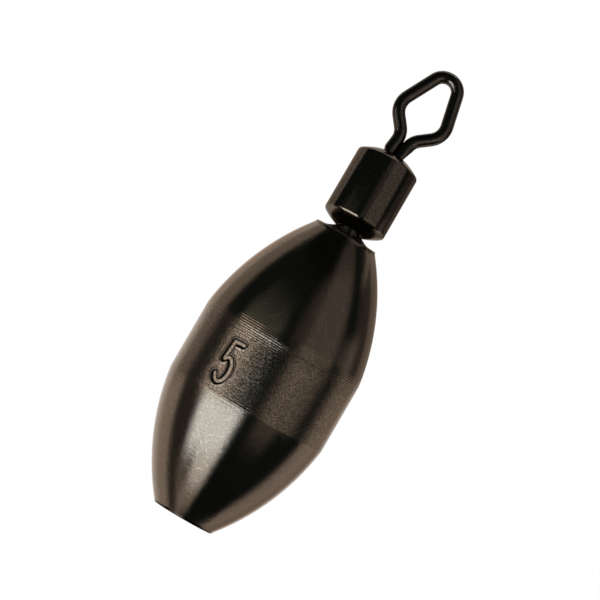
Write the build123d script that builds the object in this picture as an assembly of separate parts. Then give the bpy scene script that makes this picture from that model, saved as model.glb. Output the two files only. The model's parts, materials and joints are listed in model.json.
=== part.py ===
"""Drop-shot fishing sinker: a belted tungsten olive under a rolling swivel with a pinched line eye.

The sinker hangs with its long axis along Z and the eye on top. The origin is where the line bears on
the inside of the eye. The swivel is stored drooped on its stem, as it lies when the sinker rests on
its side. Millimetres throughout.
"""

import os
from math import atan2, cos, hypot, radians, sin, tan

from build123d import *

# Sinker body, an olive pressed from tungsten alloy with a straight belt and flat ends
BODY_LENGTH = 12.3
BELT_DIAMETER = 6.55
BELT_LENGTH = 2.85
END_DIAMETER = 2.45
DOME_RADIUS = 9.5
END_CHAMFER = 0.05
SOCKET_DIAMETER = 1.7
SOCKET_DEPTH = 3.4

# Adhesive that fills the socket round the anchor pin and stands above the body's top as a meniscus
MENISCUS_TOP_DIAMETER = 1.14
MENISCUS_HEIGHT = 0.07

# Swivel barrel, a sleeve closed in to a round lip at both ends
BARREL_DIAMETER = 2.54
BARREL_STRAIGHT = 2.6
BARREL_WALL = 0.3
NOSE_LENGTH = 0.36
NOSE_BULGE = 0.07
NOSE_CHAMFER = 0.03
LIP_WIDTH = 0.14
LIP_THICKNESS = 0.22

# Journals that turn in the barrel's lips, and the wire that is coined down to the upper one
WIRE_DIAMETER = 0.476
LEG_GAP = 0.02
JOURNAL_DIAMETER = 0.8
HEAD_BACK_ANGLE = 30.0
COIN_STEP = 0.02
COIN_LENGTH = 0.55

# Line eye, a diamond whose base is pinched to hold the line's tag end
PINCH_HEIGHT = 0.91
PINCH_RADIUS = 0.7
CORNER_HEIGHT = 1.78
CORNER_OFFSET = 1.1
CORNER_RADIUS = 0.75
PEAK_HEIGHT = 4.9
PEAK_RADIUS = 0.56
EYE_LEAN = 7.5

# Anchor pin, grooved where the adhesive holds it in the socket
PIN_NECK = 0.45
GROOVE_COUNT = 2
GROOVE_DEPTH = 0.1

# Clearances and the play of the swivel on its stem
JOURNAL_CLEARANCE = 0.02
HEAD_CLEARANCE = 0.03
HEAD_GAP = 0.25
NECK_CLEARANCE = 0.02
PIN_CLEARANCE = 0.16
DROOP_ANGLE = 12.0

# Half sizes and angles worked out from the sizes above
belt_radius = BELT_DIAMETER / 2
end_radius = END_DIAMETER / 2
socket_radius = SOCKET_DIAMETER / 2
barrel_radius = BARREL_DIAMETER / 2
bore_radius = barrel_radius - BARREL_WALL
journal_radius = JOURNAL_DIAMETER / 2
wire_radius = WIRE_DIAMETER / 2
leg_offset = wire_radius + LEG_GAP / 2
droop = radians(DROOP_ANGLE)

# The lip's hole lets the journal rock to the droop angle either way
hole_radius = journal_radius / cos(droop) + LIP_THICKNESS / 2 * tan(droop) + JOURNAL_CLEARANCE
lip_radius = hole_radius + LIP_WIDTH
nose_slope = NOSE_LENGTH / (barrel_radius - lip_radius)
nose_angle = atan2(NOSE_LENGTH, barrel_radius - lip_radius)
nose_half = hypot(NOSE_LENGTH, barrel_radius - lip_radius) / 2
nose_round = (nose_half**2 + NOSE_BULGE**2) / (2 * NOSE_BULGE)
nose_end_angle = nose_angle - 2 * atan2(NOSE_BULGE, nose_half)

# Levels along the swivel, from the middle of its lower lip, about which it rocks
lip_bottom = -LIP_THICKNESS / 2
barrel_bottom_edge = lip_bottom + NOSE_LENGTH
barrel_top_edge = barrel_bottom_edge + BARREL_STRAIGHT
barrel_top = barrel_top_edge + NOSE_LENGTH
upper_lip_middle = barrel_top - LIP_THICKNESS / 2

# The ball heads fill the barrel's bore and length, less their clearances
cone_offset = HEAD_CLEARANCE - hole_radius * sin(nose_angle) + LIP_THICKNESS / 2 * cos(nose_angle)
rocking_reach = 1 / cos(droop + nose_angle)
turning_reach = 1 / cos(nose_angle)
head_radius_by_bore = (bore_radius - HEAD_CLEARANCE - cone_offset * rocking_reach * sin(droop)) / (
    1 + rocking_reach * sin(droop)
)
head_radius_by_length = (upper_lip_middle - HEAD_GAP - cone_offset * (rocking_reach + turning_reach)) / (
    2 + rocking_reach + turning_reach
)
head_radius = min(head_radius_by_bore, head_radius_by_length)
lower_head_level = (head_radius + cone_offset) * rocking_reach
upper_head_level = upper_lip_middle - (head_radius + cone_offset) * turning_reach

# The drooped nose just clears the meniscus, which sets the swivel's height above the body
lip_drop = LIP_THICKNESS / 2 * cos(droop) + lip_radius * sin(droop)
nose_drop = nose_round * (1 - cos(max(0, droop - nose_end_angle)))
pivot_height = BODY_LENGTH + MENISCUS_HEIGHT + NECK_CLEARANCE + lip_drop + nose_drop


def revolved(outline):
    """A solid of revolution about Z from a closed outline drawn in the XZ plane."""
    return revolve(Plane.XZ * make_face(outline), Axis.Z)


def bent_wire(points, radii):
    """Round wire along straight runs joined by arcs, in the XZ plane."""
    path = Plane.XZ * FilletPolyline(*points, radius=radii)
    section = Plane(origin=path @ 0, z_dir=path % 0) * Circle(wire_radius)
    return sweep(section, path=path)


def head_and_journal(head_level, journal_end):
    """The flat-backed ball head inside the barrel, with the journal that passes through the lip."""
    middle = (head_level + journal_end) / 2
    journal = Pos(0, 0, middle) * Cylinder(journal_radius, abs(journal_end - head_level))
    if journal_end > head_level:
        head = Sphere(head_radius, arc_size1=-HEAD_BACK_ANGLE, arc_size2=90)
    else:
        head = Sphere(head_radius, arc_size1=-90, arc_size2=HEAD_BACK_ANGLE)
    return Pos(0, 0, head_level) * head + journal


def sinker_body():
    """The olive: two domes, a straight belt between them, flat ends and a blind socket on top."""
    middle = BODY_LENGTH / 2
    belt_bottom = middle - BELT_LENGTH / 2
    belt_top = middle + BELT_LENGTH / 2
    outline = [
        Line((0, 0), (end_radius, 0)),
        RadiusArc((end_radius, 0), (belt_radius, belt_bottom), -DOME_RADIUS),
        Line((belt_radius, belt_bottom), (belt_radius, belt_top)),
        RadiusArc((belt_radius, belt_top), (end_radius, BODY_LENGTH), -DOME_RADIUS),
        Line((end_radius, BODY_LENGTH), (0, BODY_LENGTH)),
        Line((0, BODY_LENGTH), (0, 0)),
    ]
    olive = revolved(outline)
    ends = olive.faces().filter_by(Plane.XY)
    olive = chamfer(ends.edges(), END_CHAMFER)
    socket_middle = BODY_LENGTH - SOCKET_DEPTH / 2
    return olive - Pos(0, 0, socket_middle) * Cylinder(socket_radius, SOCKET_DEPTH)


def anchor_pin():
    """The lower half of the swivel: head, journal and the grooved foot that the adhesive keys into."""
    neck_end = BODY_LENGTH - PIN_NECK
    foot = BODY_LENGTH - SOCKET_DEPTH + PIN_CLEARANCE
    pitch = (neck_end - foot) / (GROOVE_COUNT + 0.5)
    outline = [(0, neck_end), (journal_radius, neck_end)]
    for groove in range(GROOVE_COUNT):
        land_end = neck_end - (groove + 0.5) * pitch
        outline.append((journal_radius, land_end))
        outline.append((journal_radius - GROOVE_DEPTH, land_end - 0.25 * pitch))
        outline.append((journal_radius, land_end - 0.5 * pitch))
    outline += [(journal_radius, foot), (0, foot)]
    grooved_foot = revolved(Polyline(*outline, close=True))
    return grooved_foot + head_and_journal(pivot_height + lower_head_level, neck_end)


def bond_plug(pin):
    """The adhesive: it fills the socket round the anchor pin and stands above it as a meniscus."""
    filling = Pos(0, 0, BODY_LENGTH - SOCKET_DEPTH / 2) * Cylinder(socket_radius, SOCKET_DEPTH)
    meniscus_middle = BODY_LENGTH + MENISCUS_HEIGHT / 2
    meniscus = Pos(0, 0, meniscus_middle) * Cone(
        socket_radius, MENISCUS_TOP_DIAMETER / 2, MENISCUS_HEIGHT
    )
    return filling + meniscus - pin


def swivel_barrel():
    """The sleeve: a straight tube whose ends are closed in round to a lip, open right through."""
    nose_middle = (lip_radius + barrel_radius) / 2 + NOSE_BULGE * sin(nose_angle)
    nose_rise = NOSE_LENGTH / 2 - NOSE_BULGE * cos(nose_angle)
    low_middle = (nose_middle, lip_bottom + nose_rise)
    high_middle = (nose_middle, barrel_top - nose_rise)
    outer = [
        Line((0, lip_bottom), (lip_radius, lip_bottom)),
        ThreePointArc((lip_radius, lip_bottom), low_middle, (barrel_radius, barrel_bottom_edge)),
        Line((barrel_radius, barrel_bottom_edge), (barrel_radius, barrel_top_edge)),
        ThreePointArc((barrel_radius, barrel_top_edge), high_middle, (lip_radius, barrel_top)),
        Line((lip_radius, barrel_top), (0, barrel_top)),
        Line((0, barrel_top), (0, lip_bottom)),
    ]
    sleeve = revolved(outer)
    rims = sleeve.edges().filter_by(GeomType.CIRCLE).group_by(SortBy.RADIUS)[-1]
    sleeve = chamfer(rims, NOSE_CHAMFER)
    cone_rise = nose_slope * (bore_radius - hole_radius)
    inner_bottom = lip_bottom + LIP_THICKNESS
    inner_top = barrel_top - LIP_THICKNESS
    inner = Polyline(
        (0, lip_bottom),
        (hole_radius, lip_bottom),
        (hole_radius, inner_bottom),
        (bore_radius, inner_bottom + cone_rise),
        (bore_radius, inner_top - cone_rise),
        (hole_radius, inner_top),
        (hole_radius, barrel_top),
        (0, barrel_top),
        close=True,
    )
    return sleeve - revolved(inner)


def leaned(x, height):
    """A point of the eye, given over the barrel's top, after the eye leans sideways on its legs."""
    lean = radians(EYE_LEAN)
    return (
        x * cos(lean) + height * sin(lean),
        barrel_top + height * cos(lean) - x * sin(lean),
    )


def line_eye():
    """The upper eye: one wire bent to a diamond, pinched at its base and coined to a journal."""
    journal_end = barrel_top + COIN_STEP
    points = [
        (-leg_offset, barrel_top),
        leaned(-leg_offset, PINCH_HEIGHT),
        leaned(-CORNER_OFFSET, CORNER_HEIGHT),
        leaned(0, PEAK_HEIGHT),
        leaned(CORNER_OFFSET, CORNER_HEIGHT),
        leaned(leg_offset, PINCH_HEIGHT),
        (leg_offset, barrel_top),
    ]
    radii = [PINCH_RADIUS, CORNER_RADIUS, PEAK_RADIUS, CORNER_RADIUS, PINCH_RADIUS]
    wire = bent_wire(points, radii)
    reach = 2 * (CORNER_OFFSET + WIRE_DIAMETER)
    coin_end = barrel_top + COIN_LENGTH
    coined_radius = journal_radius - COIN_STEP
    coin_end_radius = leg_offset + wire_radius + COIN_LENGTH * tan(radians(EYE_LEAN))
    coin_outline = Polyline(
        (0, barrel_top - COIN_STEP),
        (coined_radius, barrel_top - COIN_STEP),
        (coined_radius, barrel_top),
        (coin_end_radius, coin_end),
        (reach, coin_end),
        (reach, barrel_top + PEAK_HEIGHT),
        (0, barrel_top + PEAK_HEIGHT),
        close=True,
    )
    coined = wire & revolved(coin_outline)
    return coined + head_and_journal(upper_head_level, journal_end)


def line_seat():
    """Where the line bears: the inside of the wire at the loop's peak, in the swivel's own frame."""
    strand_angle = atan2(CORNER_OFFSET, PEAK_HEIGHT - CORNER_HEIGHT)
    inside_height = PEAK_HEIGHT - PEAK_RADIUS / sin(strand_angle) + PEAK_RADIUS - wire_radius
    x, z = leaned(0, inside_height)
    return Vector(x, 0, z)


def drooped(shape):
    """The swivel's own frame set on the sinker: rocked about the lower lip, its top towards +Y."""
    return Pos(0, 0, pivot_height) * Rot(-DROOP_ANGLE, 0, 0) * shape


def in_sinker(point):
    """A point of the swivel's own frame, given in the sinker's frame."""
    return (drooped(Location(point))).position


pin = anchor_pin()
seat = in_sinker(line_seat())
to_origin = Pos(-seat.X, -seat.Y, -seat.Z)
nodes = {
    "sinker_body": to_origin * sinker_body(),
    "bond_plug": to_origin * bond_plug(pin),
    "anchor_pin": to_origin * pin,
    "swivel_barrel": to_origin * drooped(swivel_barrel()),
    "line_eye": to_origin * drooped(line_eye()),
}

os.makedirs("parts", exist_ok=True)
for name, shape in nodes.items():
    solid = shape.solid()
    solid.label = name
    export_step(solid, f"parts/{name}.step")
    print(f"{name}: {solid.volume:.3f} mm3, valid {solid.is_valid}")

# Places that the joints and mounts use, in the finished frame
pivot = Vector(0, 0, pivot_height) - seat
eye_bearing = in_sinker(Vector(0, 0, upper_lip_middle)) - seat
swivel_axis = Vector(0, sin(droop), cos(droop))
pinch_x, pinch_z = leaned(0, PINCH_HEIGHT)
pinch = in_sinker(Vector(pinch_x, 0, pinch_z)) - seat
pinch_axis = Vector(sin(radians(EYE_LEAN)), 0, cos(radians(EYE_LEAN))).rotate(Axis.X, -DROOP_ANGLE)
print("rock pivot", pivot)
print("eye bearing", eye_bearing, "axis", swivel_axis)
print("bottom face", Vector(0, 0, 0) - seat)
print("pinch", pinch, "axis", pinch_axis)
print(f"head radius {head_radius:.3f}, hole radius {hole_radius:.3f}")
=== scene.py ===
# %% [markdown]
# # A drop-shot sinker on a rolling swivel
# The solids of this part come out of a CAD model and stand in one shared frame, in metres, with the
# long axis along Z. This lesson dresses them for a close picture: finer meshes where the solids are
# faceted, metal finishes that are worked out by nodes, and a small studio to reflect in the metal.

# %% Load the frame
import json
from math import atan2, cos, pi, radians, sin, sqrt, tan

import bmesh
import bpy
from mathutils import Matrix, Vector


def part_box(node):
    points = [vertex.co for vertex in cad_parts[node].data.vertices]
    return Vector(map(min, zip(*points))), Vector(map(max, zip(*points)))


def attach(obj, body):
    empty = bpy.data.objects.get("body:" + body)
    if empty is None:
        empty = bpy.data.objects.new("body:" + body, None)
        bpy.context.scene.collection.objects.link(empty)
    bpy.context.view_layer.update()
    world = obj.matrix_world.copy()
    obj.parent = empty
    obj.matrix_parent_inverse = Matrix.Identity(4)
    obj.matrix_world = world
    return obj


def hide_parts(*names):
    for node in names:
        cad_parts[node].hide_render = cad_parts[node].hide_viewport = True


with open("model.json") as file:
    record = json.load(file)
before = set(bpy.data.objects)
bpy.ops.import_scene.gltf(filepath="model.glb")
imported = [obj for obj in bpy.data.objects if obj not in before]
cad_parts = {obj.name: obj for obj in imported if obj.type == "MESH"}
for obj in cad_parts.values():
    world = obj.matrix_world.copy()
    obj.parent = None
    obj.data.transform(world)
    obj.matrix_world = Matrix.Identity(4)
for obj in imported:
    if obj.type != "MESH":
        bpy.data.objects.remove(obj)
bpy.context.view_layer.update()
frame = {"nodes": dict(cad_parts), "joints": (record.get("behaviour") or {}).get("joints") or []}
nodes = frame["nodes"]
MM = 0.001
MERGE_DISTANCE = 0.0004

# %% [markdown]
# ## Where things are
# The joints already say where the swivel rocks and about which axis it turns, and the body's box says
# where its flat ends are. Reading them keeps every new mesh in step with the solids.

# %% Places taken from the frame, in millimetres
joints = {joint["name"]: joint for joint in frame["joints"]}
rock_pivot = Vector(joints["sinker_rock"]["pos_m"]) / MM
swivel_axis = Vector(joints["eye_spin"]["axis"])
body_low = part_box("sinker_body")[0] / MM
body_foot = Vector((rock_pivot.x, rock_pivot.y, body_low.z))
droop = atan2(swivel_axis.y, swivel_axis.z)
sinker_place = Matrix.Translation(body_foot)
swivel_place = Matrix.Translation(rock_pivot) @ Matrix.Rotation(-droop, 4, "X")
print("rock pivot", rock_pivot[:], "droop in degrees", round(droop * 180 / pi, 2))

# %% [markdown]
# ## Three small tools for every mesh
# A piece is drawn in millimetres in its own upright frame, because that is how a maker would draw it.
# At the end its doubles are merged, its faces are turned outwards and its place is put into the mesh.
# The object itself stays at the origin, so a pattern on Object coordinates can't slide.


# %% Finish a mesh and hang it on its body
def make_piece(name, bm, place, body, node, material):
    """Close a mesh drawn in millimetres, put it in its place and let it stand for its solid."""
    bmesh.ops.remove_doubles(bm, verts=bm.verts, dist=MERGE_DISTANCE)
    bmesh.ops.recalc_face_normals(bm, faces=bm.faces)
    bmesh.ops.transform(bm, matrix=Matrix.Scale(MM, 4) @ place, verts=bm.verts)
    mesh = bpy.data.meshes.new(name)
    bm.to_mesh(mesh)
    bm.free()
    mesh.shade_smooth()
    piece = bpy.data.objects.new(name, mesh)
    bpy.context.scene.collection.objects.link(piece)
    mesh.materials.append(material)
    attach(piece, body)
    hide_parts(node)
    triangles = sum(len(face.vertices) - 2 for face in mesh.polygons)
    print(name, "has", triangles, "triangles")


def spin_round(bm, geometry, angle=2 * pi, steps=192):
    """Turn an outline about Z, as a lathe would."""
    full = abs(angle - 2 * pi) < 1e-6
    return bmesh.ops.spin(
        bm, geom=geometry, cent=(0, 0, 0), axis=(0, 0, 1), angle=angle, steps=steps, use_merge=full
    )["geom_last"]


def outline_edges(bm, points):
    """A chain of edges in the XZ plane through points of (radius, height)."""
    corners = [bm.verts.new((radius, 0, height)) for radius, height in points]
    return [bm.edges.new(pair) for pair in zip(corners, corners[1:])]


# %% [markdown]
# ## Shared effects
# Metal that has been handled is never one even gloss. Four effects are used by several finishes, so
# each is a node group: fine lines left by turning, a grain of pits and specks, soft smears from fingers
# and thin scratches. A group only puts out values that change over the surface. The shader stays in
# the material.


# %% Helpers that build node trees
def add_node(tree, kind, settings=None, **inputs):
    """A new node. An input is named with _ for each space, or numbered as _0, _1 and so on."""
    node = tree.nodes.new(kind)
    for key, value in (settings or {}).items():
        setattr(node, key, value)
    for key, value in inputs.items():
        socket = node.inputs[int(key[1:])] if key[1:].isdigit() else node.inputs[key.replace("_", " ")]
        if isinstance(value, bpy.types.NodeSocket):
            tree.links.new(value, socket)
        else:
            socket.default_value = value
    return node


def new_group(name, inputs, outputs):
    """An empty node group with its sockets, and its own input and output nodes."""
    tree = bpy.data.node_groups.new(name, "ShaderNodeTree")
    for label, kind in inputs:
        tree.interface.new_socket(label, in_out="INPUT", socket_type=kind)
    for label in outputs:
        tree.interface.new_socket(label, in_out="OUTPUT", socket_type="NodeSocketFloat")
    return tree, tree.nodes.new("NodeGroupInput"), tree.nodes.new("NodeGroupOutput")


def times(tree, first, second):
    return add_node(tree, "ShaderNodeMath", {"operation": "MULTIPLY"}, _0=first, _1=second).outputs[0]


def stretch_range(tree, value, low, high):
    """Spread the part of a value that lies between low and high over nought to one."""
    node = add_node(tree, "ShaderNodeMapRange", Value=value, From_Min=low, From_Max=high)
    return node.outputs["Result"]


FLOAT = "NodeSocketFloat"
VECTOR = "NodeSocketVector"


# %% Turning lines: fine strokes that run round the axis
def build_turning_lines():
    tree, given, result = new_group(
        "turning lines", [("Place", VECTOR), ("Lines per metre", FLOAT), ("Break up", FLOAT)], ["Height"]
    )
    parts = add_node(tree, "ShaderNodeSeparateXYZ", Vector=given.outputs["Place"])
    break_up = given.outputs["Break up"]
    across = [times(tree, parts.outputs[side], break_up) for side in ("X", "Y")]
    drawn_out = add_node(tree, "ShaderNodeCombineXYZ", X=across[0], Y=across[1], Z=parts.outputs["Z"])
    lines = add_node(
        tree,
        "ShaderNodeTexNoise",
        Vector=drawn_out.outputs["Vector"],
        Scale=given.outputs["Lines per metre"],
        Detail=3.0,
        Roughness=0.7,
    )
    tree.links.new(lines.outputs["Fac"], result.inputs["Height"])
    return tree


turning_lines = build_turning_lines()
print("group", turning_lines.name)


# %% Metal grain: pits for the height and rare bright specks
def build_metal_grain():
    tree, given, result = new_group(
        "metal grain", [("Place", VECTOR), ("Grains per metre", FLOAT)], ["Height", "Mottle", "Specks"]
    )
    fine = add_node(
        tree,
        "ShaderNodeTexNoise",
        Vector=given.outputs["Place"],
        Scale=given.outputs["Grains per metre"],
        Detail=4.0,
        Roughness=0.65,
    )
    cells = add_node(
        tree,
        "ShaderNodeTexVoronoi",
        Vector=given.outputs["Place"],
        Scale=given.outputs["Grains per metre"],
    )
    tree.links.new(fine.outputs["Fac"], result.inputs["Height"])
    mottle = stretch_range(tree, fine.outputs["Fac"], low=0.40, high=0.60)
    tree.links.new(mottle, result.inputs["Mottle"])
    specks = stretch_range(tree, cells.outputs["Distance"], low=0.16, high=0.06)
    tree.links.new(specks, result.inputs["Specks"])
    return tree


metal_grain = build_metal_grain()
print("group", metal_grain.name)


# %% Handling smears: broad soft patches, stretched a little along the piece
SMEAR_SCALE = (1.0, 1.0, 0.45)


def build_handling_smears():
    tree, given, result = new_group(
        "handling smears", [("Place", VECTOR), ("Patches per metre", FLOAT)], ["Mask"]
    )
    stretched = add_node(tree, "ShaderNodeMapping", Vector=given.outputs["Place"], Scale=SMEAR_SCALE)
    broad = add_node(
        tree,
        "ShaderNodeTexNoise",
        Vector=stretched.outputs["Vector"],
        Scale=given.outputs["Patches per metre"],
        Detail=5.0,
        Roughness=0.6,
        Distortion=0.6,
    )
    smeared = stretch_range(tree, broad.outputs["Fac"], low=0.38, high=0.66)
    tree.links.new(smeared, result.inputs["Mask"])
    return tree


handling_smears = build_handling_smears()
print("group", handling_smears.name)


# %% Scratches: long thin strokes that lean across the piece, with angles in radians
SCRATCH_LEANS = (0.6, -0.9)
SCRATCH_TWIST = 0.3
SCRATCH_SCALE = (1.0, 1.0, 0.06)


def build_fine_scratches():
    tree, given, result = new_group(
        "fine scratches", [("Place", VECTOR), ("Strokes per metre", FLOAT)], ["Mask"]
    )
    place = given.outputs["Place"]
    strokes = []
    for lean in SCRATCH_LEANS:
        turned = add_node(tree, "ShaderNodeMapping", Vector=place, Rotation=(0.0, lean, SCRATCH_TWIST))
        stretched = add_node(tree, "ShaderNodeMapping", Vector=turned.outputs[0], Scale=SCRATCH_SCALE)
        noise = add_node(
            tree,
            "ShaderNodeTexNoise",
            Vector=stretched.outputs["Vector"],
            Scale=given.outputs["Strokes per metre"],
            Detail=2.0,
        )
        strokes.append(stretch_range(tree, noise.outputs["Fac"], low=0.62, high=0.7))
    both = add_node(tree, "ShaderNodeMath", {"operation": "MAXIMUM"}, _0=strokes[0], _1=strokes[1])
    tree.links.new(both.outputs[0], result.inputs["Mask"])
    return tree


fine_scratches = build_fine_scratches()
print("group", fine_scratches.name)

# %% [markdown]
# ## The finishes
# The body is tungsten alloy under a thin brown-black plating. Its domes are smooth and its belt is
# grainier, because the press leaves the belt as it is. The barrel and the wire have a glossier black
# plating over brass and steel, and on the bonded pin it is darkened further as painted shade for the
# gap between barrel and body. The adhesive is a black plastic.
# All of them are dark, so what they look like comes mostly from what they reflect.


# %% Helpers that build finishes
def effect(tree, group, place, **values):
    """Place one of the shared effects in a material."""
    node = tree.nodes.new("ShaderNodeGroup")
    node.node_tree = group
    tree.links.new(place, node.inputs["Place"])
    for key, value in values.items():
        node.inputs[key.replace("_", " ")].default_value = value
    return node


def new_finish(name, metallic, edge_tint):
    """A material with its tree, its shader and the place on the piece."""
    material = bpy.data.materials.new(name)
    material.use_nodes = True
    tree = material.node_tree
    shader = tree.nodes["Principled BSDF"]
    shader.inputs["Metallic"].default_value = metallic
    shader.inputs["Specular Tint"].default_value = (*edge_tint, 1.0)
    place = tree.nodes.new("ShaderNodeTexCoord").outputs["Object"]
    return material, tree, shader, place


def blend_colours(tree, mask, low, high):
    """A colour that goes from low to high with the mask. Each is a written colour or a socket."""
    node = tree.nodes.new("ShaderNodeMix")
    node.data_type = "RGBA"
    colours = [socket for socket in node.inputs if socket.type == "RGBA"]
    for socket, value in zip(colours, (low, high)):
        if isinstance(value, bpy.types.NodeSocket):
            tree.links.new(value, socket)
        else:
            socket.default_value = (*value, 1.0)
    tree.links.new(mask, node.inputs["Factor"])
    return [socket for socket in node.outputs if socket.type == "RGBA"][0]


def ranged(tree, value, low, high):
    """Turn a value of nought to one into one of low to high."""
    return add_node(tree, "ShaderNodeMapRange", Value=value, To_Min=low, To_Max=high).outputs["Result"]


def plus(tree, first, second):
    return add_node(tree, "ShaderNodeMath", {"operation": "ADD"}, _0=first, _1=second).outputs[0]


def attribute(tree, name):
    """A value that the mesh keeps at each of its points."""
    return add_node(tree, "ShaderNodeAttribute", {"attribute_name": name}).outputs["Fac"]


def bumped(tree, shader, height, strength, depth):
    """Let a height tilt the shader's surface, with the depth in metres."""
    bump = add_node(tree, "ShaderNodeBump", Height=height, Strength=strength, Distance=depth)
    tree.links.new(bump.outputs["Normal"], shader.inputs["Normal"])


# %% The body: brown-black plating, smooth on the domes and grainy on the belt
PLATING_DARK = (0.070, 0.059, 0.049)
PLATING_LIGHT = (0.250, 0.212, 0.176)
PLATING_WORN = (0.360, 0.315, 0.270)
# Painted shade: the colour that darkens the stamped mark's walls and the foot's rim.
PAINTED_SHADE_COLOUR = (0.012, 0.010, 0.009)
PLATING_EDGE_TINT = (0.92, 0.82, 0.74)
SCRATCH_BRIGHTNESS = 0.22
MOTTLE_ROUGHNESS = 0.04
PLATING_BUMP = 0.000010


def zoned(tree, belt, on_domes, on_belt):
    """One value on the domes and another on the belt."""
    return ranged(tree, belt, on_domes, on_belt)


def build_plated_tungsten():
    material, tree, shader, place = new_finish("plated tungsten", 1.0, PLATING_EDGE_TINT)
    belt = attribute(tree, "belt")
    wear = attribute(tree, "edge_wear")
    shade_amount = attribute(tree, "painted_shade")
    lines = effect(tree, turning_lines, place, Lines_per_metre=18000.0, Break_up=0.12)
    grain = effect(tree, metal_grain, place, Grains_per_metre=20000.0)
    smears = effect(tree, handling_smears, place, Patches_per_metre=420.0)
    scratches = effect(tree, fine_scratches, place, Strokes_per_metre=9000.0)
    speckled = times(tree, grain.outputs["Mottle"], zoned(tree, belt, on_domes=0.3, on_belt=0.9))
    mottle = plus(tree, speckled, zoned(tree, belt, on_domes=0.37, on_belt=0.05))
    mottled = blend_colours(tree, mottle, PLATING_DARK, PLATING_LIGHT)
    worn = times(tree, wear, ranged(tree, grain.outputs["Height"], low=0.3, high=1.0))
    specks = times(tree, grain.outputs["Specks"], zoned(tree, belt, on_domes=0.2, on_belt=0.75))
    scratched = times(tree, scratches.outputs["Mask"], SCRATCH_BRIGHTNESS)
    bright = plus(tree, plus(tree, worn, specks), scratched)
    plating = blend_colours(tree, bright, mottled, PLATING_WORN)
    # The base colour goes towards the painted shade colour on the mark's walls and on the foot's rim.
    tree.links.new(blend_colours(tree, shade_amount, plating, PAINTED_SHADE_COLOUR), shader.inputs["Base Color"])
    smeared = ranged(tree, smears.outputs["Mask"], low=0.0, high=0.06)
    gloss = plus(tree, zoned(tree, belt, on_domes=0.07, on_belt=0.14), smeared)
    dulled = times(tree, grain.outputs["Mottle"], MOTTLE_ROUGHNESS)
    tree.links.new(plus(tree, gloss, dulled), shader.inputs["Roughness"])
    turned = times(tree, lines.outputs["Height"], zoned(tree, belt, on_domes=0.5, on_belt=0.85))
    pitted = times(tree, grain.outputs["Height"], zoned(tree, belt, on_domes=0.3, on_belt=0.5))
    bumped(tree, shader, plus(tree, turned, pitted), strength=1.0, depth=PLATING_BUMP)
    return material


plated_tungsten = build_plated_tungsten()
print("finish", plated_tungsten.name)

# %% The barrel and the wire: glossy black plating
BARREL_PLATING = (0.135, 0.118, 0.100)
WIRE_PLATING = (0.115, 0.102, 0.092)
# A darker plating on the pin, as painted shade for the gap between barrel and body.
SHADED_PIN_PLATING = (0.045, 0.042, 0.038)
BRASS_SHOWING = (0.300, 0.240, 0.170)
SWIVEL_EDGE_TINT = (0.55, 0.50, 0.46)
DARK_SHARE = 0.55
LIGHT_SHARE = 1.45
SMEAR_ROUGHNESS = 0.08
SWIVEL_PITS = 0.4
SWIVEL_BUMP = 0.000006


def build_swivel_plating(name, plating, roughness, turning):
    material, tree, shader, place = new_finish(name, 1.0, SWIVEL_EDGE_TINT)
    straightened = add_node(tree, "ShaderNodeMapping", Vector=place, Rotation=(droop, 0.0, 0.0))
    upright = straightened.outputs["Vector"]
    wear = attribute(tree, "edge_wear")
    lines = effect(tree, turning_lines, upright, Lines_per_metre=24000.0, Break_up=0.1)
    grain = effect(tree, metal_grain, place, Grains_per_metre=20000.0)
    smears = effect(tree, handling_smears, upright, Patches_per_metre=900.0)
    worn = times(tree, wear, ranged(tree, grain.outputs["Height"], low=0.2, high=1.0))
    dark = [channel * DARK_SHARE for channel in plating]
    light = [channel * LIGHT_SHARE for channel in plating]
    mottled = blend_colours(tree, grain.outputs["Mottle"], dark, light)
    tree.links.new(blend_colours(tree, worn, mottled, BRASS_SHOWING), shader.inputs["Base Color"])
    gloss = ranged(tree, smears.outputs["Mask"], low=roughness, high=roughness + SMEAR_ROUGHNESS)
    tree.links.new(gloss, shader.inputs["Roughness"])
    turned = times(tree, lines.outputs["Height"], turning)
    pitted = times(tree, grain.outputs["Height"], SWIVEL_PITS)
    bumped(tree, shader, plus(tree, turned, pitted), strength=0.5, depth=SWIVEL_BUMP)
    return material


barrel_plating = build_swivel_plating("barrel plating", BARREL_PLATING, roughness=0.11, turning=0.8)
wire_plating = build_swivel_plating("wire plating", WIRE_PLATING, roughness=0.13, turning=0.1)
# The pin's finish is darkened as painted shade for the gap between barrel and body.
shaded_pin_plating = build_swivel_plating("pin plating with painted shade", SHADED_PIN_PLATING, roughness=0.3, turning=0.1)
print("finishes", [finish.name for finish in (barrel_plating, wire_plating, shaded_pin_plating)])

# %% The adhesive: black, a little dusty and not quite even
ADHESIVE = (0.012, 0.011, 0.010)
ADHESIVE_DUST = (0.028, 0.025, 0.022)
DUST_SHARE = 0.5
ADHESIVE_BUMP = 0.000012
WHITE_EDGE = (1.0, 1.0, 1.0)


def build_black_adhesive():
    material, tree, shader, place = new_finish("black adhesive", 0.0, WHITE_EDGE)
    grain = effect(tree, metal_grain, place, Grains_per_metre=16000.0)
    smears = effect(tree, handling_smears, place, Patches_per_metre=1500.0)
    dusty = times(tree, smears.outputs["Mask"], DUST_SHARE)
    tree.links.new(blend_colours(tree, dusty, ADHESIVE, ADHESIVE_DUST), shader.inputs["Base Color"])
    gloss = ranged(tree, smears.outputs["Mask"], low=0.35, high=0.55)
    tree.links.new(gloss, shader.inputs["Roughness"])
    bumped(tree, shader, grain.outputs["Height"], strength=0.4, depth=ADHESIVE_BUMP)
    return material


black_adhesive = build_black_adhesive()
print("finish", black_adhesive.name)

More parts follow.
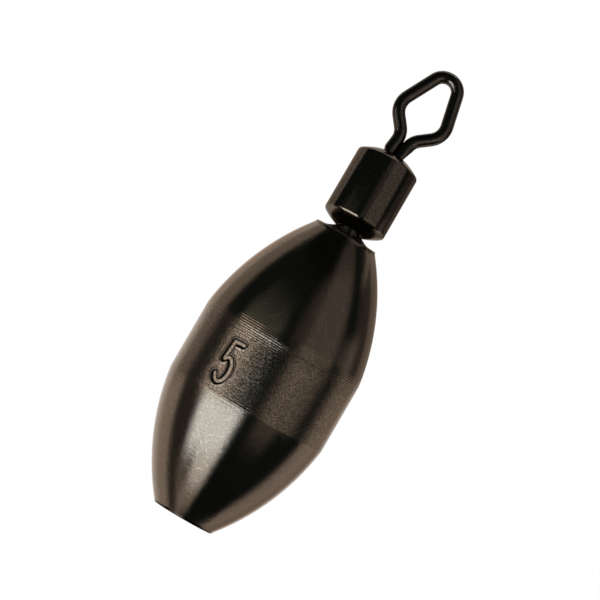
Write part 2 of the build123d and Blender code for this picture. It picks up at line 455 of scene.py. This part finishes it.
# %% [markdown]
# ## The sinker body
# The real body is pressed and then turned: two domes, a straight belt between them and two flat ends.
# On a lathe it would be one outline turned about an axis, and a spin does the same here. The domes'
# arcs are spins too, of a single point about the arc's centre. A narrow sector is spun with much finer
# steps than the rest, because the weight mark will be sunk into it.

# %% Sizes of the body, in millimetres from its foot
BODY_LENGTH = 12.3
BELT_RADIUS = 3.275
BELT_BOTTOM = 4.725
BELT_TOP = 7.575
FOOT_RIM_RADIUS = 1.255
FOOT_ROUND = 0.04
HEAD_RIM_RADIUS = 1.295
HEAD_ROUND = 0.09
DOME_RADIUS = 9.5
SOCKET_RADIUS = 0.85
SOCKET_FLOOR = 8.9
SOCKET_RIM = 0.1
FOOT_MIDDLE_RADIUS = 0.6
RIM_STEPS = 6
DOME_STEPS = 56
BELT_CUTS = 94

MARK_AZIMUTH = radians(-26.8)
FINE_SECTOR = radians(18)
FINE_STEPS = 110
COARSE_STEPS = 160
print("body", BODY_LENGTH, "mm long and", 2 * BELT_RADIUS, "mm across")


# %% The outline: a chain of edges, with each dome spun about its own centre
def arc_centre(start, end, radius):
    """The centre of the arc through two points, on the axis side."""
    along = end - start
    reach = sqrt(radius**2 - (along.length / 2) ** 2)
    inward = Vector((-along.z, 0, along.x)).normalized()
    return (start + end) / 2 + inward * reach


def spin_arc(bm, start, end, radius, steps):
    """Sweep a new chain of points from start to end along an arc that bulges outwards."""
    centre = arc_centre(start, end, radius)
    angle = (start - centre).angle(end - centre)
    first = bm.verts.new(start)
    bmesh.ops.spin(bm, geom=[first], cent=centre, axis=(0, -1, 0), angle=angle, steps=steps)


def rounded_rim(rim_radius, rounding, face, inward):
    """Points from the dome over the rounded rim to a flat end, as (radius, height)."""
    points = []
    for step in range(RIM_STEPS + 1):
        angle = pi / 2 * step / RIM_STEPS
        radius = rim_radius - rounding * (1 - cos(angle))
        points.append((radius, face + inward * rounding * (1 - sin(angle))))
    return points


def draw_body_outline(bm):
    foot_edge = Vector((FOOT_RIM_RADIUS, 0, FOOT_ROUND))
    belt_low = Vector((BELT_RADIUS, 0, BELT_BOTTOM))
    belt_high = Vector((BELT_RADIUS, 0, BELT_TOP))
    head_edge = Vector((HEAD_RIM_RADIUS, 0, BODY_LENGTH - HEAD_ROUND))
    spin_arc(bm, foot_edge, belt_low, DOME_RADIUS, DOME_STEPS)
    spin_arc(bm, belt_high, head_edge, DOME_RADIUS, DOME_STEPS)
    belt = outline_edges(bm, [(BELT_RADIUS, BELT_BOTTOM), (BELT_RADIUS, BELT_TOP)])
    bmesh.ops.subdivide_edges(bm, edges=belt, cuts=BELT_CUTS)
    foot = [(FOOT_MIDDLE_RADIUS, 0), (0, 0)]
    outline_edges(bm, rounded_rim(FOOT_RIM_RADIUS, FOOT_ROUND, face=0.0, inward=1) + foot)
    socket = [
        (SOCKET_RADIUS, BODY_LENGTH),
        (SOCKET_RADIUS, BODY_LENGTH - SOCKET_RIM),
        (SOCKET_RADIUS, SOCKET_FLOOR),
        (0, SOCKET_FLOOR),
    ]
    outline_edges(bm, rounded_rim(HEAD_RIM_RADIUS, HEAD_ROUND, face=BODY_LENGTH, inward=-1) + socket)
    bmesh.ops.remove_doubles(bm, verts=bm.verts, dist=MERGE_DISTANCE)


# %% [markdown]
# ## Turned lines and the weight mark
# Where the belt meets the domes the tool left a few shallow rings, and a plain 5 is stamped into the
# belt for the weight. Both are real relief, so they are moved in the mesh. The mark's stroke is a flat
# channel with steep sides: how deep a point lies depends on how far it is from the numeral's line.
# Its walls are also darkened in the colour, as painted shade.

# %% Rings: (height, depth) in millimetres
RING_WIDTH = 0.036
RING_CUT = 0.0125
RING_ZONES = [(4.5, 4.9), (7.1, 7.95)]
RINGS = [
    (4.63, 0.0015),
    (4.73, 0.003),
    (4.83, 0.002),
    (7.17, 0.003),
    (7.26, 0.005),
    (7.34, 0.004),
    (7.43, 0.008),
    (7.52, 0.006),
    (7.61, 0.009),
    (7.70, 0.007),
    (7.79, 0.006),
    (7.88, 0.003),
]


def ring_depth(height):
    return sum(depth * max(0.0, 1 - abs(height - level) / RING_WIDTH) for level, depth in RINGS)


def refine_ring_zones(bm):
    """Cut the outline finer where rings will be sunk."""
    for low, high in RING_ZONES:
        for edge in list(bm.edges):
            heights = [vert.co.z for vert in edge.verts]
            if low < min(heights) and max(heights) < high and edge.calc_length() > RING_CUT:
                cuts = int(edge.calc_length() / RING_CUT)
                bmesh.ops.subdivide_edges(bm, edges=[edge], cuts=cuts)


print(len(RINGS), "rings, the deepest", max(depth for level, depth in RINGS), "mm")


# %% The numeral's line, from a bar, a stem and a bowl, in a box one wide and one high
BAR_AND_STEM = [(0.5, 1.0), (-0.32, 0.99), (-0.46, 0.55)]
BOWL_MIDDLE = Vector((-0.06, 0.3))
BOWL_WIDTH = 0.56
BOWL_HEIGHT = 0.3
BOWL_START = 130
BOWL_SWEEP = 280
BOWL_STEPS = 18
MARK_WIDTH = 0.48
MARK_HEIGHT = 1.64
MARK_MIDDLE = 5.975
STROKE_HALF = 0.1
STROKE_WALL = 0.055
MARK_DEPTH = 0.07
BURR_HEIGHT = 0.014
BURR_WIDTH = 0.05
# Width of the painted shade along the stroke's walls.
SHADE_WIDTH = 0.075
MARK_REACH = 0.48


def numeral_line():
    """The middle of the stroke, in millimetres from the middle of the mark."""
    points = list(BAR_AND_STEM)
    for step in range(BOWL_STEPS + 1):
        angle = radians(BOWL_START - step * BOWL_SWEEP / BOWL_STEPS)
        points.append(BOWL_MIDDLE + Vector((BOWL_WIDTH * cos(angle), BOWL_HEIGHT * sin(angle))))
    return [Vector((x * MARK_WIDTH, (y - 0.5) * MARK_HEIGHT)) for x, y in points]


def distance_to_line(point, line):
    gaps = []
    for start, end in zip(line, line[1:]):
        along = end - start
        share = max(0.0, min(1.0, (point - start).dot(along) / along.length_squared))
        gaps.append((point - start - along * share).length)
    return min(gaps)


def mark_relief(across, up, line):
    """How deep the mark is at a point, less the burr, how much painted shade its wall gets and how bare
    its floor.
    """
    away = distance_to_line(Vector((across, up)), line)
    share = max(0.0, min(1.0, (STROKE_HALF + STROKE_WALL / 2 - away) / STROKE_WALL))
    sunk = MARK_DEPTH * share * share * (3 - 2 * share)
    burr = BURR_HEIGHT * max(0.0, 1 - abs(away - STROKE_HALF - STROKE_WALL) / BURR_WIDTH)
    # Painted shade along the stroke's walls, strongest in the middle of the wall.
    shade_amount = max(0.0, 1 - abs(away - STROKE_HALF) / SHADE_WIDTH)
    bare = max(0.0, 1 - away / STROKE_HALF)
    return sunk - burr, shade_amount, bare


print("numeral", MARK_HEIGHT, "mm high and", MARK_DEPTH, "mm deep")


# %% Turn the outline, then sink the rings and the mark
SIDE_RADIUS = 2.5
BELT_BLEND = 0.1
EDGE_WEAR = 0.15
EDGE_WIDTH = 0.05
MARK_WEAR = 0.5
# How much painted shade the foot's rim and the outer part of its flat end get.
FOOT_SHADE = 0.85


def build_sinker_body():
    bm = bmesh.new()
    draw_body_outline(bm)
    start = MARK_AZIMUTH - FINE_SECTOR / 2 - pi / 2
    bmesh.ops.rotate(bm, verts=bm.verts, cent=(0, 0, 0), matrix=Matrix.Rotation(start, 3, "Z"))
    refine_ring_zones(bm)
    outline = list(bm.verts) + list(bm.edges)
    turned = spin_round(bm, outline, FINE_SECTOR, FINE_STEPS)
    spin_round(bm, turned, 2 * pi - FINE_SECTOR, COARSE_STEPS)
    bmesh.ops.remove_doubles(bm, verts=bm.verts, dist=MERGE_DISTANCE)
    line = numeral_line()
    belt_layer = bm.verts.layers.float.new("belt")
    wear_layer = bm.verts.layers.float.new("edge_wear")
    shade_layer = bm.verts.layers.float.new("painted_shade")
    for vert in bm.verts:
        radius = sqrt(vert.co.x**2 + vert.co.y**2)
        height = vert.co.z
        on_side = radius > SIDE_RADIUS
        on_belt = BELT_BOTTOM < height < BELT_TOP
        depth, shade_amount, bare = 0.0, 0.0, 0.0
        if on_side:
            depth = ring_depth(height)
            azimuth = atan2(vert.co.x, -vert.co.y)
            across = (azimuth - MARK_AZIMUTH) * BELT_RADIUS
            if abs(across) < MARK_REACH and on_belt:
                relief, shade_amount, bare = mark_relief(across, height - MARK_MIDDLE, line)
                depth += relief
            vert.co.x *= 1 - depth / radius
            vert.co.y *= 1 - depth / radius
        # Painted shade on the foot's rim and the outer part of its flat end.
        if height < FOOT_ROUND and radius > SOCKET_RADIUS:
            shade_amount = FOOT_SHADE
        from_edge = min(abs(height - BELT_BOTTOM), abs(height - BELT_TOP))
        inwards = from_edge if on_belt else -from_edge
        vert[shade_layer] = shade_amount
        vert[belt_layer] = max(0.0, min(1.0, 0.5 + inwards / BELT_BLEND)) if on_side else 0.0
        edge_wear = EDGE_WEAR * max(0.0, 1 - from_edge / EDGE_WIDTH) if on_side else 0.0
        vert[wear_layer] = max(edge_wear, MARK_WEAR * bare)
    make_piece(
        "sinker_body_turned", bm, sinker_place, "sinker", "sinker_body", plated_tungsten
    )


build_sinker_body()

# %% [markdown]
# ## The adhesive
# The swivel's pin is bonded in the body's socket. A little adhesive stands round the neck and creeps up
# it, so its top is a hollow curve. That is again one outline turned about the axis. The barrel rocks
# forwards and back over it, so the collar is pressed lower there than at the two sides.

# %% The meniscus round the pin
PIN_RADIUS = 0.4
PIN_CLEARANCE = 0.16
SKIN = 0.002
COLLAR_FOOT_RADIUS = 1.0
COLLAR_TOP_RADIUS = 0.56
COLLAR_HEIGHT = 0.17
COLLAR_LOWERED = 0.62
COLLAR_CURVE = 1.6
COLLAR_STEPS = 12
COLLAR_TIP = 0.03
ADHESIVE_STEPS = 96


def build_adhesive():
    bm = bmesh.new()
    top = BODY_LENGTH
    points = [
        (0, SOCKET_FLOOR + SKIN),
        (SOCKET_RADIUS - SKIN, SOCKET_FLOOR + SKIN),
        (SOCKET_RADIUS - SKIN, top + SKIN),
    ]
    for step in range(COLLAR_STEPS + 1):
        share = step / COLLAR_STEPS
        radius = COLLAR_FOOT_RADIUS + (COLLAR_TOP_RADIUS - COLLAR_FOOT_RADIUS) * share
        points.append((radius, top + SKIN + COLLAR_HEIGHT * share**COLLAR_CURVE))
    pin_foot = SOCKET_FLOOR + PIN_CLEARANCE - SKIN
    points += [
        (PIN_RADIUS + SKIN, top + COLLAR_HEIGHT + COLLAR_TIP),
        (PIN_RADIUS + SKIN, pin_foot),
        (0, pin_foot),
    ]
    outline_edges(bm, points)
    bmesh.ops.remove_doubles(bm, verts=bm.verts, dist=MERGE_DISTANCE)
    spin_round(bm, list(bm.verts) + list(bm.edges), steps=ADHESIVE_STEPS)
    for vert in bm.verts:
        if vert.co.z > top:
            across = abs(vert.co.y) / max(sqrt(vert.co.x**2 + vert.co.y**2), SKIN)
            vert.co.z = top + (vert.co.z - top) * (1 - COLLAR_LOWERED * across)
    make_piece(
        "adhesive_meniscus", bm, sinker_place, "sinker", "bond_plug", black_adhesive
    )


build_adhesive()

# %% [markdown]
# ## The barrel
# A rolling swivel's barrel is a sleeve with both ends closed in to a lip, so that the ball heads inside
# can't come out. The outline is a closed loop round the wall. After the spin the rings at its corners
# are bevelled, as the closing tool would leave them.

# %% Sizes of the barrel, in millimetres from the middle of its lower lip
BARREL_RADIUS = 1.27
BORE_RADIUS = 0.97
LIP_RADIUS = 0.592
HOLE_RADIUS = 0.452
LIP_BOTTOM = -0.11
NOSE_LENGTH = 0.36
BARREL_TOP = 3.21
LIP_THICKNESS = 0.22
BARREL_ROUND = 0.06
NOSE_ROUND = 2.5
NOSE_STEPS = 10
RING_TOLERANCE = 0.002
BARREL_SIDE = 1.2
BARREL_WEAR = 0.5
BARREL_WEAR_WIDTH = 0.05


def on_ring(edge, corner):
    """Whether an edge lies on the ring that a corner (radius, height) of an outline makes."""
    return all(
        abs(sqrt(vert.co.x**2 + vert.co.y**2) - corner[0]) < RING_TOLERANCE
        and abs(vert.co.z - corner[1]) < RING_TOLERANCE
        for vert in edge.verts
    )


def build_barrel():
    bm = bmesh.new()
    low_edge, high_edge = LIP_BOTTOM + NOSE_LENGTH, BARREL_TOP - NOSE_LENGTH
    slope = NOSE_LENGTH / (BARREL_RADIUS - LIP_RADIUS) * (BORE_RADIUS - HOLE_RADIUS)
    inner_low, inner_high = LIP_BOTTOM + LIP_THICKNESS, BARREL_TOP - LIP_THICKNESS
    low_lip, low_rim = Vector((LIP_RADIUS, 0, LIP_BOTTOM)), Vector((BARREL_RADIUS, 0, low_edge))
    high_rim, high_lip = Vector((BARREL_RADIUS, 0, high_edge)), Vector((LIP_RADIUS, 0, BARREL_TOP))
    spin_arc(bm, low_lip, low_rim, NOSE_ROUND, NOSE_STEPS)
    spin_arc(bm, high_rim, high_lip, NOSE_ROUND, NOSE_STEPS)
    outline_edges(bm, [(BARREL_RADIUS, low_edge), (BARREL_RADIUS, high_edge)])
    outline_edges(
        bm,
        [
            (LIP_RADIUS, BARREL_TOP),
            (HOLE_RADIUS, BARREL_TOP),
            (HOLE_RADIUS, inner_high),
            (BORE_RADIUS, inner_high - slope),
            (BORE_RADIUS, inner_low + slope),
            (HOLE_RADIUS, inner_low),
            (HOLE_RADIUS, LIP_BOTTOM),
            (LIP_RADIUS, LIP_BOTTOM),
        ],
    )
    bmesh.ops.remove_doubles(bm, verts=bm.verts, dist=MERGE_DISTANCE)
    spin_round(bm, list(bm.verts) + list(bm.edges))
    bmesh.ops.remove_doubles(bm, verts=bm.verts, dist=MERGE_DISTANCE)
    corners = [(BARREL_RADIUS, low_edge), (BARREL_RADIUS, high_edge)]
    corner_edges = [edge for edge in bm.edges if any(on_ring(edge, corner) for corner in corners)]
    bmesh.ops.bevel(
        bm, geom=corner_edges, offset=BARREL_ROUND, affect="EDGES", segments=4, profile=0.5, material=-1
    )
    wear_layer = bm.verts.layers.float.new("edge_wear")
    for vert in bm.verts:
        radius = sqrt(vert.co.x**2 + vert.co.y**2)
        near = min(abs(vert.co.z - low_edge), abs(vert.co.z - high_edge))
        worn = BARREL_WEAR * max(0.0, 1 - near / BARREL_WEAR_WIDTH)
        vert[wear_layer] = worn if radius > BARREL_SIDE else 0.0
    make_piece(
        "barrel_sleeve", bm, swivel_place, "barrel", "swivel_barrel", barrel_plating
    )


build_barrel()

# %% [markdown]
# ## The line eye
# The eye is one piece of wire. It is bent here the way a maker bends it: a round section runs straight
# for a while, then turns about a former, then runs on. A straight run is an extrusion, and a turn is a
# spin of the section about the former's centre. Next to the barrel the two legs are coined round, and
# inside it a ball head with a flat back keeps the eye from being pulled out.

# %% Sizes of the eye, in millimetres, with (sideways, up) from the barrel's top
WIRE_RADIUS = 0.25
LEG_OFFSET = 0.247
PINCH_HEIGHT = 0.91
EYE_LEAN = radians(7.5)
COIN_LENGTH = 0.55
JOURNAL_RADIUS = 0.4
COINED_RADIUS = 0.38
COIN_END_RADIUS = LEG_OFFSET + WIRE_RADIUS + COIN_LENGTH * tan(EYE_LEAN)
LEG_FOOT = -0.1
SHOULDER_OFFSET = 1.1
SHOULDER_HEIGHT = 1.78
PEAK_HEIGHT = 4.9
PINCH_BEND = 0.7
SHOULDER_BEND = 0.75
PEAK_BEND = 0.56
WIRE_SIDES = 32
RUN_STEPS = 12
BEND_STEP = radians(6)
LEAST_BEND_STEPS = 6


def leaned(across, height):
    """A point of the eye after it leans sideways on its legs."""
    return Vector(
        (
            across * cos(EYE_LEAN) + height * sin(EYE_LEAN),
            height * cos(EYE_LEAN) - across * sin(EYE_LEAN),
        )
    )


EYE_POINTS = [
    leaned(-LEG_OFFSET, LEG_FOOT),
    leaned(-LEG_OFFSET, PINCH_HEIGHT),
    leaned(-SHOULDER_OFFSET, SHOULDER_HEIGHT),
    leaned(0.0, PEAK_HEIGHT),
    leaned(SHOULDER_OFFSET, SHOULDER_HEIGHT),
    leaned(LEG_OFFSET, PINCH_HEIGHT),
    leaned(LEG_OFFSET, LEG_FOOT),
]
BEND_RADII = [PINCH_BEND, SHOULDER_BEND, PEAK_BEND, SHOULDER_BEND, PINCH_BEND]
print("wire", 2 * WIRE_RADIUS, "mm thick, with", len(BEND_RADII), "bends")


# %% Turn the corner points into straight runs and bends
def wire_route(points, radii):
    """A list of (straight length, bend angle, bend radius), with a last straight run."""
    route = []
    used = 0.0
    for index, radius in enumerate(radii, start=1):
        before = points[index] - points[index - 1]
        after = points[index + 1] - points[index]
        turn = atan2(before.x * after.y - before.y * after.x, before.dot(after))
        reach = radius * tan(abs(turn) / 2)
        route.append((before.length - used - reach, turn, radius))
        used = reach
    route.append(((points[-1] - points[-2]).length - used, 0.0, 0.0))
    return route


def run_straight(bm, ring, heading, length):
    """Push the section on by a length."""
    for _ in range(RUN_STEPS):
        grown = bmesh.ops.extrude_edge_only(bm, edges=ring)["geom"]
        ring = [item for item in grown if isinstance(item, bmesh.types.BMEdge)]
        moved = {vert for edge in ring for vert in edge.verts}
        bmesh.ops.translate(bm, verts=list(moved), vec=heading * (length / RUN_STEPS))
    return ring


def turn_wire(bm, ring, heading, turn, radius):
    """Turn the section about a former that stands on one side of the wire."""
    middle = sum((vert.co for edge in ring for vert in edge.verts), Vector()) / (2 * len(ring))
    side = Vector((-heading.z, 0, heading.x)) * (1 if turn > 0 else -1)
    steps = max(LEAST_BEND_STEPS, round(abs(turn) / BEND_STEP))
    section = list({vert for edge in ring for vert in edge.verts}) + ring
    last = bmesh.ops.spin(
        bm, geom=section, cent=middle + side * radius, axis=(0, -1, 0), angle=turn, steps=steps
    )["geom_last"]
    heading = Matrix.Rotation(-turn, 3, "Y") @ heading
    return [item for item in last if isinstance(item, bmesh.types.BMEdge)], heading


# %% The journal that goes through the barrel's lip, and the ball head that keeps it there
JOURNAL_TOP = 0.02
JOURNAL_SIDES = 48
HEAD_RADIUS = 0.689
HEAD_LEVEL = -0.794


def add_journal_and_head(bm):
    bmesh.ops.create_cone(
        bm,
        cap_ends=True,
        segments=JOURNAL_SIDES,
        radius1=JOURNAL_RADIUS,
        radius2=JOURNAL_RADIUS,
        depth=JOURNAL_TOP - HEAD_LEVEL,
        matrix=Matrix.Translation((0, 0, (JOURNAL_TOP + HEAD_LEVEL) / 2)),
    )
    middle = Vector((0, 0, HEAD_LEVEL))
    ball = bmesh.ops.create_uvsphere(
        bm,
        u_segments=JOURNAL_SIDES,
        v_segments=JOURNAL_SIDES // 2,
        radius=HEAD_RADIUS,
        matrix=Matrix.Translation(middle),
    )["verts"]
    edges = {edge for vert in ball for edge in vert.link_edges}
    faces = {face for vert in ball for face in vert.link_faces}
    bmesh.ops.bisect_plane(
        bm,
        geom=ball + list(edges) + list(faces),
        plane_co=middle - Vector((0, 0, HEAD_RADIUS / 2)),
        plane_no=(0, 0, -1),
        clear_outer=True,
    )


# %% Bend the wire, coin its legs and close its ends
def build_line_eye():
    bm = bmesh.new()
    start = Vector((EYE_POINTS[0].x, 0, EYE_POINTS[0].y))
    section_place = Matrix.Translation(start) @ Matrix.Rotation(EYE_LEAN, 4, "Y")
    bmesh.ops.create_circle(bm, segments=WIRE_SIDES, radius=WIRE_RADIUS, matrix=section_place)
    ring = list(bm.edges)
    heading = Vector((sin(EYE_LEAN), 0, cos(EYE_LEAN)))
    for straight, turn, radius in wire_route(EYE_POINTS, BEND_RADII):
        ring = run_straight(bm, ring, heading, straight)
        if turn:
            ring, heading = turn_wire(bm, ring, heading, turn, radius)
    for vert in bm.verts:
        reach = sqrt(vert.co.x**2 + vert.co.y**2)
        share = max(0.0, min(1.0, vert.co.z / COIN_LENGTH))
        allowed = COINED_RADIUS + (COIN_END_RADIUS - COINED_RADIUS) * share
        if vert.co.z < COIN_LENGTH and reach > allowed:
            vert.co.x *= allowed / reach
            vert.co.y *= allowed / reach
    add_journal_and_head(bm)
    open_rings = [edge for edge in bm.edges if edge.is_boundary]
    bmesh.ops.holes_fill(bm, edges=open_rings, sides=0)
    eye_place = swivel_place @ Matrix.Translation((0, 0, BARREL_TOP))
    make_piece("line_eye_wire", bm, eye_place, "eye", "line_eye", wire_plating)


build_line_eye()

# %% [markdown]
# ## The bonded pin
# Only the neck of the pin can be seen, in the gap under the barrel. The solid has the right shape for
# that, so it stays. Its finish is the wire's plating, dulled, and darkened as painted shade for that
# gap.

# %% Give the solid that stays its finish
pin = nodes["anchor_pin"]
pin.data.materials.clear()
pin.data.materials.append(shaded_pin_plating)
print("kept", pin.name)

# %% [markdown]
# ## The studio
# A dark mirror shows its surroundings, so the surroundings are built like a product studio: a white
# sweep behind, a dark room in front, one large softbox low on the left and a dim grey card on the
# right. Each card is a patch of a sphere round the sinker. A few stand close to it, so that its body
# and its barrel see them in different places. The camera doesn't see the cards.

# %% World and floor
world = bpy.data.worlds.new("white sweep")
bpy.context.scene.world = world
world.use_nodes = True
background = world.node_tree.nodes["Background"]
background.inputs["Color"].default_value = (1, 1, 1, 1)
background.inputs["Strength"].default_value = 1.0

FLOOR_HALF = 2.0
FLOOR_DROP = 0.02
body_middle = (body_foot + Vector((0, 0, BODY_LENGTH / 2))) * MM


def build_floor():
    material = bpy.data.materials.new("pale floor")
    material.use_nodes = True
    shader = material.node_tree.nodes["Principled BSDF"]
    shader.inputs["Base Color"].default_value = (1, 1, 1, 1)
    shader.inputs["Roughness"].default_value = 1.0
    shader.inputs["Specular IOR Level"].default_value = 0.0
    bm = bmesh.new()
    bmesh.ops.create_grid(bm, x_segments=1, y_segments=1, size=FLOOR_HALF)
    bmesh.ops.translate(bm, verts=bm.verts, vec=(0, 0, body_foot.z * MM - FLOOR_DROP))
    mesh = bpy.data.meshes.new("floor")
    bm.to_mesh(mesh)
    bm.free()
    mesh.materials.append(material)
    floor = bpy.data.objects.new("floor", mesh)
    bpy.context.scene.collection.objects.link(floor)
    floor.visible_glossy = False
    print("floor", FLOOR_DROP, "m under the foot")


build_floor()


# %% Cards: (name, azimuth from and to, elevation from and to, distance, brightness, colour)
WHITE = (1.0, 1.0, 1.0, 1.0)
COOL = (0.90, 1.0, 1.04, 1.0)
WARM = (1.0, 0.88, 0.78, 1.0)
GREENISH = (1.0, 1.06, 0.88, 1.0)
BLACKISH = (0.72, 1.0, 0.92, 1.0)
CARDS = [
    ("dark room", -104, 104, -89, 89, 0.100, 0.03, BLACKISH),
    ("dark top", -112, 104, 52, 89, 0.098, 0.015, BLACKISH),
    ("dark foot", 0, 96, -89, -46, 0.098, 0.025, BLACKISH),
    ("left gap", -104, -62, -70, -4, 0.099, 0.1, WARM),
    ("left wing", -134, -104, -75, 75, 0.100, 0.5, WARM),
    ("left wing low", -136, -102, -74, -10, 0.098, 0.85, WARM),
    ("right wing", 104, 156, -75, 75, 0.100, 0.5, WARM),
    ("right wing low", 98, 132, -50, 0, 0.096, 0.75, WARM),
    ("right wing front", 90, 106, 6, 26, 0.022, 0.35, WARM),
    ("right strip", 106, 127, 6, 46, 0.022, 0.12, WARM),
    ("right strip top", 94, 106, 26, 46, 0.022, 0.1, WARM),
    ("right edge", 130, 165, 4, 36, 0.022, 0.32, WARM),
    ("left edge", -160, -132, 4, 36, 0.022, 0.75, WARM),
    ("right crown", 98, 120, 44, 76, 0.096, 0.06, WARM),
    ("softbox", -62, -1, -43, -14, 0.080, 3.7, COOL),
    ("softbox foot", -40, -1, -60, -43, 0.080, 2.4, WHITE),
    ("softbox corner", -75, -40, -60, -43, 0.080, 0.4, WARM),
    ("floor glow", -70, -1, -76, -60, 0.080, 0.75, WARM),
    ("spill bright", -70, -34, -14, 6, 0.080, 1.85, WARM),
    ("spill dim", -34, -20, -14, 6, 0.080, 0.5, WARM),
    ("spill end", -20, -8, -14, 6, 0.080, 0.1, WARM),
    ("left glow", -66, -10, 8, 25, 0.022, 0.22, GREENISH),
    ("left glow top", -60, -14, 25, 36, 0.022, 0.09, GREENISH),
    ("grey card", 22, 46, -10, 14, 0.080, 0.62, WARM),
    ("grey card side", 46, 72, -10, 14, 0.080, 0.45, WARM),
    ("grey card low", 22, 52, -27, -10, 0.080, 0.2, WARM),
    ("grey card top", 24, 76, 14, 56, 0.080, 0.28, WARM),
    ("grey card crown", 24, 76, 56, 74, 0.080, 0.17, WARM),
    ("grey card rim", 76, 90, 12, 26, 0.022, 0.2, WARM),
    ("grey card edge", 6, 24, 14, 52, 0.080, 0.12, WARM),
]
STEPS_UP = 24
STEPS_ROUND = 32
LIGHTS_OTHERS = 1.0


def build_card(name, left, right, low, high, distance, brightness, colour):
    bm = bmesh.new()
    angle = radians(low)
    first = bm.verts.new((0, -distance * cos(angle), distance * sin(angle)))
    rise = radians(high - low)
    bmesh.ops.spin(bm, geom=[first], cent=(0, 0, 0), axis=(-1, 0, 0), angle=rise, steps=STEPS_UP)
    turned = Matrix.Rotation(radians(left), 3, "Z")
    bmesh.ops.rotate(bm, verts=bm.verts, cent=(0, 0, 0), matrix=turned)
    spin_round(bm, list(bm.verts) + list(bm.edges), radians(right - left), STEPS_ROUND)
    bmesh.ops.translate(bm, verts=bm.verts, vec=body_middle)
    material = bpy.data.materials.new(name)
    material.use_nodes = True
    tree = material.node_tree
    tree.nodes.remove(tree.nodes["Principled BSDF"])
    glow = add_node(tree, "ShaderNodeEmission", Color=colour, Strength=brightness)
    tree.links.new(glow.outputs[0], tree.nodes["Material Output"].inputs["Surface"])
    mesh = bpy.data.meshes.new(name)
    bm.to_mesh(mesh)
    bm.free()
    mesh.materials.append(material)
    card = bpy.data.objects.new(name, mesh)
    bpy.context.scene.collection.objects.link(card)
    card.visible_camera = False
    card.visible_shadow = False
    card.visible_diffuse = brightness > LIGHTS_OTHERS
    return card


cards = [build_card(*card) for card in CARDS]
print("cards", [card.name for card in cards])

# %% [markdown]
# ## The camera
# The sinker lies slanted in the picture and is seen square to its axis from a few hand widths away, so
# the camera is level, rolled by the slant, and has a long lens.

# %% Camera at the photo's angle
SLANT = radians(30.17)
AIM_FROM_FOOT = Vector((-0.296, 0, 9.317))
SENSOR_WIDTH = 36.0
DISTANCE = 0.2
PICTURE_WIDTH = 22.64 * MM

camera_data = bpy.data.cameras.new("camera")
camera_data.sensor_width = SENSOR_WIDTH
camera_data.lens = SENSOR_WIDTH * DISTANCE / PICTURE_WIDTH
camera_data.clip_start = 0.01
camera = bpy.data.objects.new("camera", camera_data)
bpy.context.scene.collection.objects.link(camera)
right = Vector((cos(SLANT), 0, sin(SLANT)))
up = Vector((-sin(SLANT), 0, cos(SLANT)))
back = Vector((0, -1, 0))
turn = Matrix((right, up, back)).transposed().to_4x4()
aim = (body_foot + AIM_FROM_FOOT) * MM
camera.matrix_world = Matrix.Translation(aim + back * DISTANCE) @ turn
bpy.context.scene.camera = camera
bpy.context.scene.view_settings.view_transform = "Standard"
print("lens", round(camera_data.lens, 1))
